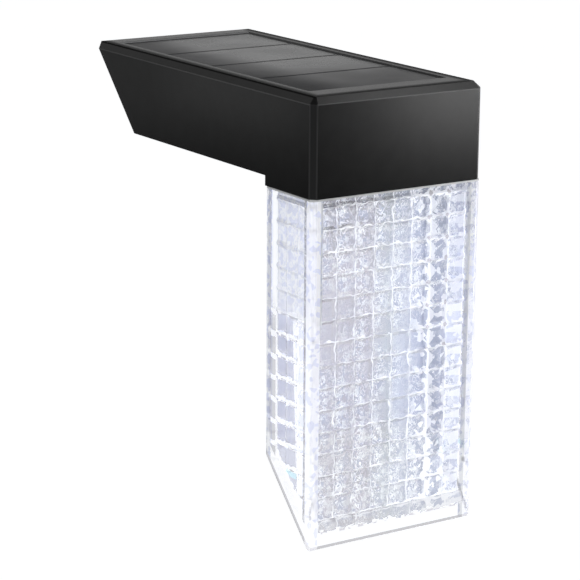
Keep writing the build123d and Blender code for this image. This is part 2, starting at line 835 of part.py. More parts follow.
coil_place = (control_board_x, control_board_y + control_board_length / 4)
with BuildPart() as boost_inductor:
    with BuildSketch(Plane.XY.offset(control_board_top_z)):
        with Locations(coil_place):
            Rectangle(coil_size, coil_size)
    extrude(amount=coil_height)
    chamfer(boost_inductor.edges().filter_by(Axis.Z), coil_corner)
    with BuildSketch(Plane.XY.offset(control_board_top_z + coil_height)):
        with Locations(coil_place):
            Circle(coil_dish_radius)
    extrude(amount=-coil_dish_depth, mode=Mode.SUBTRACT)
boost_inductor.part.label = "boost_inductor"
export_step(boost_inductor.part, "parts/boost_inductor.step")

can_place = (
    control_board_x + control_board_width / 4,
    control_board_y - control_board_length / 4,
)
with BuildPart() as reservoir_capacitor:
    with BuildSketch(Plane.XY.offset(control_board_top_z)):
        with Locations(can_place):
            Rectangle(can_foot, can_foot)
    extrude(amount=can_foot_height)
    chamfer(reservoir_capacitor.edges().filter_by(Axis.Z).sort_by(Axis.Y)[:2], can_foot_corner)
    with BuildSketch(Plane.XY.offset(control_board_top_z)):
        with Locations(can_place):
            Circle(can_radius)
    extrude(amount=can_height)
reservoir_capacitor.part.label = "reservoir_capacitor"
export_step(reservoir_capacitor.part, "parts/reservoir_capacitor.step")

# ---------------------------------------------------------------- push switch
switch_bottom_z = control_board_z - switch_height
stem_bottom_z = cap_top_z - cap_socket_depth
stem_top_z = stem_bottom_z + stem_length
stem_bore_top_z = stem_top_z + button_travel + stem_gap

with BuildPart() as switch_housing:
    with BuildSketch(Plane.XY.offset(switch_bottom_z)):
        with Locations(switch_place):
            Rectangle(switch_size, switch_size)
    extrude(amount=switch_height)
    with BuildSketch(Plane.XY.offset(switch_bottom_z)):
        with Locations(switch_place):
            Rectangle(stem_size + 2 * stem_gap, stem_size + 2 * stem_gap)
    extrude(amount=stem_bore_top_z - switch_bottom_z, mode=Mode.SUBTRACT)
switch_housing.part.label = "switch_housing"
export_step(switch_housing.part, "parts/switch_housing.step")

with BuildPart() as switch_stem:
    with BuildSketch(Plane.XY.offset(stem_bottom_z)):
        with Locations(switch_place):
            Rectangle(stem_size, stem_size)
    extrude(amount=stem_length)
switch_stem.part.label = "switch_stem"
export_step(switch_stem.part, "parts/switch_stem.step")

with BuildPart() as switch_cap:
    with BuildSketch(Plane.XY.offset(button_recess)):
        with Locations(switch_place):
            Circle(cap_radius)
    extrude(amount=cap_height)
    chamfer(switch_cap.edges().sort_by(Axis.Z)[0], cap_radius / 8)
    with BuildSketch(Plane.XY.offset(cap_top_z - cap_flange_height)):
        with Locations(switch_place):
            Circle(cap_flange_radius)
    extrude(amount=cap_flange_height)
    with BuildSketch(Plane.XY.offset(stem_bottom_z)):
        with Locations(switch_place):
            Rectangle(stem_size, stem_size)
    extrude(amount=cap_socket_depth, mode=Mode.SUBTRACT)
switch_cap.part.label = "switch_cap"
export_step(switch_cap.part, "parts/switch_cap.step")

with BuildPart() as switch_seal:
    with BuildSketch(Plane.XY.offset(seal_lip)):
        with Locations(switch_place):
            Circle(seal_radius)
            Circle(cap_radius + cap_seal_gap, mode=Mode.SUBTRACT)
    extrude(amount=seal_thickness)
switch_seal.part.label = "switch_seal"
export_step(switch_seal.part, "parts/switch_seal.step")

# ---------------------------------------------------------------- battery
battery_x = -(cavity_half - holder_gap - holder_width / 2)
battery_y = cover_screw_y - boss_radius - holder_screw_gap - holder_length / 2
holder_front_y = battery_y - holder_inner / 2
holder_back_y = battery_y + holder_inner / 2
cell_axis_z = cover_thickness + holder_wall + holder_gap + cell_radius
cell_front_y = holder_front_y + contact_thickness + cell_nub_length
cell_back_y = cell_front_y + cell_length

with BuildPart() as battery_holder:
    with BuildSketch(Plane.XY.offset(cover_thickness)):
        with Locations((battery_x, battery_y)):
            Rectangle(holder_width, holder_length)
    extrude(amount=holder_height)
    # cradle that closes a little over the cell's widest place
    with BuildSketch(Plane.XZ.offset(-holder_back_y)):
        with Locations((battery_x, cell_axis_z)):
            Circle(cell_radius + holder_gap)
    extrude(amount=holder_inner, mode=Mode.SUBTRACT)
battery_holder.part.label = "battery_holder"
export_step(battery_holder.part, "parts/battery_holder.step")

with BuildPart() as battery:
    with BuildSketch(Plane.XZ.offset(-cell_back_y)):
        with Locations((battery_x, cell_axis_z)):
            Circle(cell_radius)
    extrude(amount=cell_length)
    with BuildSketch(Plane.XZ.offset(-cell_front_y)):
        with Locations((battery_x, cell_axis_z)):
            Circle(cell_nub_radius)
    extrude(amount=cell_nub_length)
battery.part.label = "battery"
export_step(battery.part, "parts/battery.step")

contact_bottom_z = cover_thickness + holder_wall + contact_lift
contact_top_z = contact_bottom_z + contact_height
with BuildPart() as battery_plate:
    with BuildSketch(Plane.XZ.offset(-(holder_front_y + contact_thickness))):
        with Locations((battery_x, (contact_bottom_z + contact_top_z) / 2)):
            Rectangle(contact_width, contact_height)
    extrude(amount=contact_thickness)
battery_plate.part.label = "battery_plate"
export_step(battery_plate.part, "parts/battery_plate.step")

# bent leaf that presses on the flat end of the cell
with BuildPart() as battery_leaf:
    with BuildSketch(Plane.YZ.offset(battery_x - contact_width / 2)):
        Polygon(
            (holder_back_y, contact_bottom_z),
            (holder_back_y, contact_top_z),
            (holder_back_y - contact_thickness, contact_top_z),
            (holder_back_y - contact_thickness, contact_bottom_z + contact_thickness),
            (cell_back_y + contact_thickness, cell_axis_z),
            (cell_back_y + contact_thickness, cell_axis_z + contact_lift),
            (cell_back_y, cell_axis_z + contact_lift),
            (cell_back_y, cell_axis_z - contact_thickness / 2),
            (holder_back_y - contact_thickness, contact_bottom_z),
            align=None,
        )
    extrude(amount=contact_width)
battery_leaf.part.label = "battery_leaf"
export_step(battery_leaf.part, "parts/battery_leaf.step")

# ---------------------------------------------------------------- leads inside the housing
for lead_name, side in (("solar_lead_red", -1), ("solar_lead_black", 1)):
    x = lead_hole_x + side * lead_pitch / 2
    lead(
        lead_name,
        [
            (x, lead_hole_y, tape_top_z),
            (x, lead_hole_y, ceiling_z - lead_slack),
            (x, lead_hole_y - side * solar_lead_shift, control_board_top_z + lead_exit),
            (x, lead_hole_y - side * solar_lead_shift, control_board_top_z),
        ],
    )

pad_x = control_board_x - control_board_width / 2 + pad_inset
lamp_lead_y = control_board_front_y + pad_inset
lamp_pad_y = nose_mid_y + led_board_width / 2 - pad_inset
for lead_name, x in (("led_lead_red", pad_x), ("led_lead_black", pad_x + lead_pitch)):
    lead(
        lead_name,
        [
            (x, lamp_lead_y, control_board_top_z),
            (x, lamp_lead_y, control_board_top_z + lead_rise),
            (x - lamp_lead_shift / 2, nose_back_y - lead_exit, notch_z - lead_slack),
            (x - lamp_lead_shift, lamp_pad_y, led_board_top_z + lead_rise),
            (x - lamp_lead_shift, lamp_pad_y, led_board_top_z),
        ],
    )

tab_x = battery_x + contact_width / 2 - pad_inset
tab_z = contact_top_z - pad_inset
beside_x = battery_x + holder_width / 2 + lead_clearance
over_z = control_board_top_z + lead_rise
for lead_name, end, tab_y, pad_y in (
    ("battery_lead_red", -1, holder_front_y, control_board_front_y + pad_end_inset),
    ("battery_lead_black", 1, holder_back_y, control_board_back_y - pad_end_inset),
):
    lead(
        lead_name,
        [
            (tab_x, tab_y, tab_z),
            (tab_x, tab_y + end * lead_exit, tab_z),
            (beside_x, tab_y + end * (lead_exit - lead_slack), over_z + lead_slack),
            (pad_x, pad_y, over_z),
            (pad_x, pad_y, control_board_top_z),
        ],
    )
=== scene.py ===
from math import cos, pi, radians, sin

import bpy
from mathutils import Matrix, Vector


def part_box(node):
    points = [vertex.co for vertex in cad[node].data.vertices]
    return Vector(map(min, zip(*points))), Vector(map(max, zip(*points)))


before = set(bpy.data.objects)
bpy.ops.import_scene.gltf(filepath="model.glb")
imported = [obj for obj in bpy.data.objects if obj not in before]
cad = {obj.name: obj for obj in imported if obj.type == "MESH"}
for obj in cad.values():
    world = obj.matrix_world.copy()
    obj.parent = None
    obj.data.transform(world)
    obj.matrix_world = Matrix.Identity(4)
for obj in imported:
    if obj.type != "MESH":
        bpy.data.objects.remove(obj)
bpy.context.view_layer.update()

# Solar fence light. Metres, +Z up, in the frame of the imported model.

# ---------------------------------------------------------------- sizes
PHOTO_SIZE = 580  # pixels, both ways
MM = 0.001

# camera, fitted to the photograph's corners of the housing
CAMERA_PLACE = Vector((-0.363724, -0.562524, 0.127719))
CAMERA_AZIMUTH = radians(-33.165)
CAMERA_ELEVATION = radians(14.346)
CAMERA_ROLL = radians(0.455)
FOCAL_PIXELS = 2352.79
SENSOR = 36.0
CLIP_START = 0.01

# the housing's chamfers, the rim from its outline to the panel's recess, and the recess
TOP_CHAMFER = 1.9 * MM
CORNER_CHAMFER = 1.5 * MM
RIM = 5.3 * MM
RECESS_DEPTH = 2.3 * MM

# the solar panel's cells, and the silver fingers across them
CELL_COUNT = 4
CELL_GAP = 0.8 * MM
FINGER_PITCH = 1.6 * MM

# the lens's inner walls and their tiles
WALL = 3.15 * MM  # front and side walls
BACK_WALL = 3.35 * MM
FRONT_COLUMNS = 8
SIDE_COLUMNS = 3
TILE_MARGIN = 2.4 * MM  # from the shoulder to the first groove
TILE_HEIGHT = 6.25 * MM
FLOOR_SLOPE = (99.7 - 76.2) / 22.8  # the front wall's height less the back's, over the lens's depth
FLOOR_LIFT = 4.6 * MM  # from the floor's underside straight up to its top

# ---------------------------------------------------------------- light
WHITE = (1, 1, 1)
BLACK = (0, 0, 0)
SKY_COLOR = (0.95, 0.97, 1.0)
SKY_STRENGTH = 0.45

STAGE_DROP = 1.0  # from the lens's lowest point to the studio's floor, clear of the views from below
STAGE_RADIUS = 9.0
STAGE_GREY = 0.80
STAGE_ROUGHNESS = 0.9
STAGE_GLOW = 0.66  # turns the lit floor white for the camera

# softboxes: place, aim, size, watts, and whether only reflections see them
SOFTBOXES = {
    "key": ((-0.5, -0.5, 0.9), (0, 0, 0), (0.5, 0.5), 4.0, False),
    "front": ((0.1105, -0.152, 0.076), (0.1105, 0, 0.076), (0.089, 0.17), 1.8, True),
    "chamfer": ((0.0895, -0.0955, 0.145), (0.010, -0.058, 0.0235), (0.05, 0.05), 0.15, True),
    "left": ((-0.063, 0.0325, 0.14), (0, 0.0325, 0.14), (0.077, 0.278), 0.075, True),
}

# the white card, measured from the housing's box
WHITE_CARD_BEHIND = TOP_CHAMFER + 0.2 * MM  # its plane, behind the front chamfer
WHITE_CARD_BESIDE = 0.5 * MM
WHITE_CARD_ABOVE = 0.2 * MM
WHITE_CARD_RIGHT = 90 * MM
WHITE_CARD_DOWN = 120 * MM
WHITE_CARD_UP = 100 * MM

# the black card: how far it is left of the housing, and where it lies along Y and Z
BLACK_CARD_BESIDE = 72 * MM
BLACK_CARD_Y = (25 * MM, 230 * MM)
BLACK_CARD_Z = (-85 * MM, -27 * MM)


def make_camera():
    """Camera at the photograph's viewing angle."""
    a, e, r = CAMERA_AZIMUTH, CAMERA_ELEVATION, CAMERA_ROLL
    back = Vector((sin(a) * cos(e), -cos(a) * cos(e), sin(e)))
    level_right = Vector((cos(a), sin(a), 0))
    level_up = back.cross(level_right)
    right = cos(r) * level_right + sin(r) * level_up
    up = cos(r) * level_up - sin(r) * level_right
    data = bpy.data.cameras.new("camera")
    data.sensor_width = SENSOR
    data.lens = FOCAL_PIXELS * SENSOR / PHOTO_SIZE
    data.clip_start = CLIP_START
    camera = bpy.data.objects.new("camera", data)
    turn = Matrix((right, up, back)).transposed().to_4x4()
    camera.matrix_world = Matrix.Translation(CAMERA_PLACE) @ turn
    bpy.context.scene.collection.objects.link(camera)
    bpy.context.scene.camera = camera


def background_rays(nodes, links):
    """Socket that is 1 for camera, glossy and transmission rays, so that they see the background."""
    path = nodes.new("ShaderNodeLightPath")
    total = path.outputs["Is Camera Ray"]
    for ray in ("Is Glossy Ray", "Is Transmission Ray"):
        more = nodes.new("ShaderNodeMath")
        more.operation = "MAXIMUM"
        links.new(total, more.inputs[0])
        links.new(path.outputs[ray], more.inputs[1])
        total = more.outputs[0]
    return total


def make_world():
    """White background, with a softer even light for everything else."""
    world = bpy.data.worlds.new("studio")
    world.use_nodes = True
    bpy.context.scene.world = world
    nodes, links = world.node_tree.nodes, world.node_tree.links
    nodes.clear()
    mix = nodes.new("ShaderNodeMixShader")
    links.new(background_rays(nodes, links), mix.inputs[0])
    for slot, color, strength in ((1, SKY_COLOR, SKY_STRENGTH), (2, WHITE, 1.0)):
        light = nodes.new("ShaderNodeBackground")
        light.inputs["Color"].default_value = (*color, 1)
        light.inputs["Strength"].default_value = strength
        links.new(light.outputs[0], mix.inputs[slot])
    output = nodes.new("ShaderNodeOutputWorld")
    links.new(mix.outputs[0], output.inputs[0])


def stage_sheet(name, corners, color, glow):
    """Flat sheet of the studio, dull, with its material; returns it and its shader."""
    mesh = bpy.data.meshes.new(name)
    mesh.from_pydata(corners, [], [range(len(corners))])
    sheet = bpy.data.objects.new(name, mesh)
    bpy.context.scene.collection.objects.link(sheet)
    material = bpy.data.materials.new(name)
    material.use_nodes = True
    shader = material.node_tree.nodes["Principled BSDF"]
    shader.inputs["Base Color"].default_value = (*color, 1)
    shader.inputs["Specular IOR Level"].default_value = 0.0
    shader.inputs["Emission Color"].default_value = (*WHITE, 1)
    shader.inputs["Emission Strength"].default_value = glow
    mesh.materials.append(material)
    return sheet, shader


def make_floor():
    """Plain pale floor below the lens."""
    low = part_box("lens")[0].z - STAGE_DROP
    ends = [(-1, -1), (1, -1), (1, 1), (-1, 1)]
    corners = [(STAGE_RADIUS * x, STAGE_RADIUS * y, low) for x, y in ends]
    floor, shader = stage_sheet("floor", corners, grey(STAGE_GREY), 0.0)
    shader.inputs["Roughness"].default_value = STAGE_ROUGHNESS
    nodes, links = shader.id_data.nodes, shader.id_data.links
    lift = nodes.new("ShaderNodeMath")
    lift.operation = "MULTIPLY"
    links.new(background_rays(nodes, links), lift.inputs[0])
    lift.inputs[1].default_value = STAGE_GLOW
    links.new(lift.outputs[0], shader.inputs["Emission Strength"])


def softbox(name, place, aim, size, watts, only_reflected):
    """Rectangular area lamp that the camera doesn't see."""
    data = bpy.data.lights.new(name, "AREA")
    data.shape = "RECTANGLE"
    data.size, data.size_y = size
    data.energy = watts
    lamp = bpy.data.objects.new(name, data)
    lamp.location = place
    lamp.rotation_euler = (Vector(aim) - Vector(place)).to_track_quat("-Z", "Y").to_euler()
    lamp.visible_camera = False
    if only_reflected:
        lamp.visible_diffuse = False
        lamp.visible_transmission = False
    bpy.context.scene.collection.objects.link(lamp)


def make_card(name, corners, glow, blocks_lamps):
    """Flat card that only reflections see; it may also keep the lamps' light off what lies behind it."""
    card, _ = stage_sheet(name, corners, BLACK, glow)
    card.visible_camera = False
    card.visible_diffuse = False
    card.visible_transmission = False
    card.visible_shadow = blocks_lamps


def make_cards():
    """White card behind the front chamfer, against glare; black card that darkens the left face's foot."""
    low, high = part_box("top_housing")
    y = low.y + WHITE_CARD_BEHIND
    right, far = high.x + WHITE_CARD_BESIDE, high.x + WHITE_CARD_RIGHT
    foot, top, peak = low.z - WHITE_CARD_DOWN, high.z + WHITE_CARD_ABOVE, high.z + WHITE_CARD_UP
    outline = [(low.x, top), (right, top), (right, foot), (far, foot), (far, peak), (low.x, peak)]
    make_card("card_white", [(x, y, z) for x, z in outline], 1.0, True)
    x = low.x - BLACK_CARD_BESIDE
    (front, back), (foot, top) = BLACK_CARD_Y, BLACK_CARD_Z
    outline = [(front, top), (back, top), (back, foot), (front, foot)]
    make_card("card_black", [(x, y, z) for y, z in outline], 0.0, False)


# ---------------------------------------------------------------- materials
MID_NOISE = (0.3, 0.7)  # the range that most of a noise's values lie in


def grey(level):
    return (level, level, level)


class Look:
    """A material, with short ways to make the nodes of its textures.

    A mask is 1 on its place and 0 elsewhere.
    """

    def __init__(self, name):
        self.material = bpy.data.materials.new(name)
        self.material.use_nodes = True
        self.tree = self.material.node_tree
        self.shader = self.tree.nodes["Principled BSDF"]
        self.place = self.node("TexCoord").outputs["Object"]

    def node(self, kind, inputs=(), **settings):
        """New node; an input is a number, a colour or another node's output."""
        node = self.tree.nodes.new("ShaderNode" + kind)
        for setting, value in settings.items():
            setattr(node, setting, value)
        for key, value in dict(inputs).items():
            self.feed(node.inputs[key], value)
        return node

    def feed(self, socket, value):
        """Links the socket to another node's output, or sets it to a number or a colour."""
        if isinstance(value, bpy.types.NodeSocket):
            self.tree.links.new(value, socket)
        elif socket.type == "RGBA":
            socket.default_value = (*value, 1)
        else:
            socket.default_value = value

    def set(self, **values):
        """Sets the shader's inputs: Base_Color stands for Base Color."""
        for key, value in values.items():
            self.feed(self.shader.inputs[key.replace("_", " ")], value)

    def math(self, operation, first, second=0.0, third=0.0):
        return self.node("Math", {0: first, 1: second, 2: third}, operation=operation).outputs[0]

    def distance(self, first, second):
        return self.math("ABSOLUTE", self.math("SUBTRACT", first, second))

    def less(self, value, limit):
        return self.math("LESS_THAN", value, limit)

    def more(self, value, limit):
        return self.math("GREATER_THAN", value, limit)

    def near(self, value, target, reach):
        return self.math("COMPARE", value, target, reach)

    def between(self, value, least, most):
        return self.both(self.more(value, least), self.less(value, most))

    def both(self, mask, *others):
        """The masks' common place."""
        for other in others:
            mask = self.math("MULTIPLY", mask, other)
        return mask

    def either(self, mask, *others):
        """The masks' places together."""
        for other in others:
            mask = self.math("MAXIMUM", mask, other)
        return mask

    def span(self, source, low, high, start=0.0, end=1.0):
        """Runs smoothly from start, below low, to end, above high."""
        inputs = {"Value": source, "From Min": low, "From Max": high, "To Min": start, "To Max": end}
        return self.node("MapRange", inputs, interpolation_type="SMOOTHSTEP").outputs[0]

    def axes(self):
        """The object's own X, Y and Z."""
        return self.node("SeparateXYZ", {0: self.place}).outputs

    def noise(self, grain, detail=3.0, stretch=(1, 1, 1), distortion=0.0, output="Fac"):
        """Noise whose largest blobs are about one grain across, in metres."""
        place = self.node("Mapping", {"Vector": self.place, "Scale": stretch}).outputs[0]
        inputs = {"Vector": place, "Scale": 1 / grain, "Detail": detail, "Distortion": distortion}
        return self.node("TexNoise", inputs).outputs[output]

    def ramp(self, source, *stops):
        """Colour ramp; each stop is a position and a colour."""
        node = self.node("ValToRGB", {0: source})
        elements = node.color_ramp.elements
        while len(elements) < len(stops):
            elements.new(0.5)
        for element, (position, color) in zip(elements, stops):
            element.position = position
            element.color = (*color, 1)
        return node.outputs[0]

    def blend(self, amount, first, second):
        """Colour between two colours."""
        node = self.node("Mix", {0: amount}, data_type="RGBA", clamp_factor=True)
        self.feed(node.inputs[6], first)
        self.feed(node.inputs[7], second)
        return node.outputs[2]

    def bump(self, height, depth, strength=1.0, normal=None):
        inputs = {"Strength": strength, "Distance": depth, "Height": height}
        if normal is not None:
            inputs["Normal"] = normal
        return self.node("Bump", inputs).outputs[0]

    def rounded(self, radius):
        """Normal that looks as if the edges were rounded."""
        return self.node("Bevel", {"Radius": radius}, samples=6).outputs[0]


def surface(name, dark, light, rough, grain, depth, metallic=0.0, edge=0.0):
    """Material whose colour and gloss wander a little, over a fine grain.

    rough is the range of its roughness. The grain, its depth and the edges' radius are in millimetres.
    """
    look = Look(name)
    cloud = look.noise(grain * MM * 12)
    fine = look.noise(grain * MM, 4.0)
    look.set(
        Base_Color=look.ramp(cloud, (0.35, dark), (0.65, light)),
        Roughness=look.span(fine, *MID_NOISE, *rough),
        Normal=look.bump(fine, depth * MM, 0.6, look.rounded(edge * MM) if edge else None),
        Metallic=metallic,
    )
    return look.material


# the housing's plastic: its greys, with painted highlights, painted sheen and painted light among them,
# its roughness and grain
HOUSING_GREYS = (0.0015, 0.003)
CORNER_SHEEN_GREY = 0.018
EDGE_HIGHLIGHT_GREY = 0.035
RECESS_LIT_GREY = 0.10
TAIL_WALL_LIT_GREY = 0.35
HOUSING_ROUGHNESS = (0.28, 0.36)
RIM_ROUGHER = 0.40
HOUSING_SPECULAR = 0.047
HOUSING_CLOUD = 4.2 * MM
HOUSING_GRAIN = 0.35 * MM
HOUSING_GRAIN_DEPTH = 0.004 * MM
HOUSING_EDGE = 0.35 * MM  # radius that its edges seem to have


def housing_black():
    """Satin black moulded plastic, duller towards its top chamfers, with painted highlight lines along
    their lower edges and painted light on its corner chamfers and recess walls.
    """
    look = Look("housing_black")
    low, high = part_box("top_housing")
    panel_low, panel_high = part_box("panel_resin")
    x, y, z = look.axes()
    width = look.math("ABSOLUTE", x)
    drop = look.math("SUBTRACT", high.z, z)
    from_side = look.math("SUBTRACT", high.x, width)
    from_front = look.math("SUBTRACT", y, low.y)
    inset = look.math("MINIMUM", from_side, from_front)

    # the top's rim, from the recess out to the chamfer
    on_top = look.less(drop, 0.1 * MM)
    dull = look.both(on_top, look.span(inset, TOP_CHAMFER, RIM, 1.0, 0.0))
    crease = look.both(look.near(from_side, TOP_CHAMFER, 0.3 * MM), look.less(drop, 0.4 * MM))
    # painted highlight lines: under the top chamfer, and down both sides of the corner chamfers
    line_half = 0.2 * MM
    under_chamfer = look.both(look.near(drop, TOP_CHAMFER, line_half), look.less(inset, 0.1 * MM))
    from_corner = look.math("MAXIMUM", from_side, from_front)
    past_corner = look.near(from_corner, CORNER_CHAMFER, line_half)
    past_corner = look.both(past_corner, look.less(inset, 0.2 * MM))
    bright = look.either(under_chamfer, past_corner)
    # the corner chamfers, painted lighter as a painted sheen
    in_corner = look.less(look.math("ADD", from_side, from_front), CORNER_CHAMFER + 0.1 * MM)
    # the recess's walls, which stand this far outside the panel; they are painted lighter as painted
    # light, and the back one much lighter, as a brightly lit face
    clearance = 0.3 * MM
    panel_middle = (panel_low.y + panel_high.y) / 2
    in_recess = look.both(
        look.near(drop, RECESS_DEPTH / 2, RECESS_DEPTH / 2 - 0.05 * MM),
        look.less(width, panel_high.x + clearance),
        look.near(y, panel_middle, panel_high.y - panel_middle + clearance),
    )
    tail_wall = look.both(in_recess, look.near(y, panel_high.y + 0.2 * MM, 0.1 * MM))

    cloud = look.noise(HOUSING_CLOUD)
    fine = look.noise(HOUSING_GRAIN, 4.0)
    dark, light = HOUSING_GREYS
    color = look.ramp(cloud, (0.35, grey(dark)), (0.65, grey(light)))
    # painted sheen on the corner chamfers
    color = look.blend(in_corner, color, grey(CORNER_SHEEN_GREY))
    # painted highlight lines along the chamfers' edges
    color = look.blend(bright, color, grey(EDGE_HIGHLIGHT_GREY))
    # painted light on the recess's walls, much brighter on its back wall
    color = look.blend(in_recess, color, grey(RECESS_LIT_GREY))
    color = look.blend(tail_wall, color, grey(TAIL_WALL_LIT_GREY))
    rough = look.span(fine, *MID_NOISE, *HOUSING_ROUGHNESS)
    rough = look.math("MULTIPLY_ADD", dull, RIM_ROUGHER, rough)
    look.set(
        Base_Color=color,
        Roughness=look.math("MAXIMUM", rough, crease),
        Normal=look.bump(fine, HOUSING_GRAIN_DEPTH, 0.6, look.rounded(HOUSING_EDGE)),
        Specular_IOR_Level=HOUSING_SPECULAR,
    )
    return look.material


# ---------------------------------------------------------------- the lens
# colours painted on the lens for what its lit tiles show: painted refracted light, glints and dark
# reflections
LAVENDER = (0.47, 0.45, 0.49)
TEAL = (0.50, 0.535, 0.565)
PALE_BLUE = (0.54, 0.58, 0.68)
SLATE = (0.38, 0.42, 0.54)
MIST = (0.66, 0.70, 0.89)
UMBER = (0.46, 0.44, 0.46)
CYAN = (0.55, 0.84, 0.95)
CLEAR = (0.97, 0.98, 1.0)

# the front's tints, from its left end at 0 to its right end at 1
FRONT_TINTS = (
    (0.38, LAVENDER),
    (0.50, TEAL),
    (0.62, PALE_BLUE),
    (0.72, SLATE),
    (0.86, SLATE),
    (0.95, MIST),
)
TINT_STRAY = 0.06  # how far a tile's tint may stray to the right

# painted shade on the front's tiles: at the top left, at the top right and at the foot; and a tone from
# tile to tile, with painted shade across each tile
TOP_LEFT_SHADE = 0.64
TOP_RIGHT_SHADE = 0.52
FOOT_SHADE = 0.87
TILE_TONE_AND_SHADE = 0.12

# painted grooves: how far they wander, in tiles, and their half widths, in tiles
GROOVE_WANDER = 0.26
LINE_HALF = 0.028
WIDER_LINE = 0.03  # added to it at the right
WINDOW_BAR_HALF = 0.13
BACK_LINE_HALF = 0.08

# curls: the noise's level along each line, how far the line is full and where it ends, its strength
LIGHT_CURL = (0.50, 0.012, 0.040, 0.90)
DARK_CURL = (0.58, 0.008, 0.035, 0.80)

# columns over which the right's pattern sets in, and the rows between which the side walls' changes over
RIGHT_SETS_IN = (4.6, 6.0)
SIDE_CHANGES = (4.0, 6.0)
FOOT_LINE = (12.05, 12.4)  # rows that the cyan line under the side's windows lies between

WINDOW_TINT = 0.5  # how strongly the windows are tinted
OUTLINE_TINT = 0.7
OUTLINE_WIDTH = 1.0 * MM
HEM_LEVELS = (6.0 * MM, 8.6 * MM)  # above the lens's lowest point

# grains of the painted noises
WANDER_GRAIN = 2.6 * MM
FACET_GRAIN = 1.3 * MM
CURL_GRAIN = 1.5 * MM
STROKE_GRAIN = 0.6 * MM
CLOUD_GRAIN = 16 * MM
WAVE_GRAIN = 3 * MM

# how far from a wall's plane its paint reaches: into the grooves and out of them, in side columns
GROOVE_REACH = 0.35
WALL_REACH = 0.08
FACE_SLACK = 0.5 * MM  # on the outer faces, which have a little draft

LENS_IOR = 1.25
PAINT_COVER = 0.45  # how much of the light a painted place keeps back
SOLID_COVER = 0.8  # solid places keep back this share of it as well
# painted glow: the lens emits a little light of its own, though it is no lamp, more on the posts, the hem
# and the sparkles
EMISSION_COLOR = (0.93, 0.93, 1.0)
GLOW = 0.03  # all over
POST_GLOW = 0.25
SPARKLE = 0.4  # the sparkle's share of the posts' glow


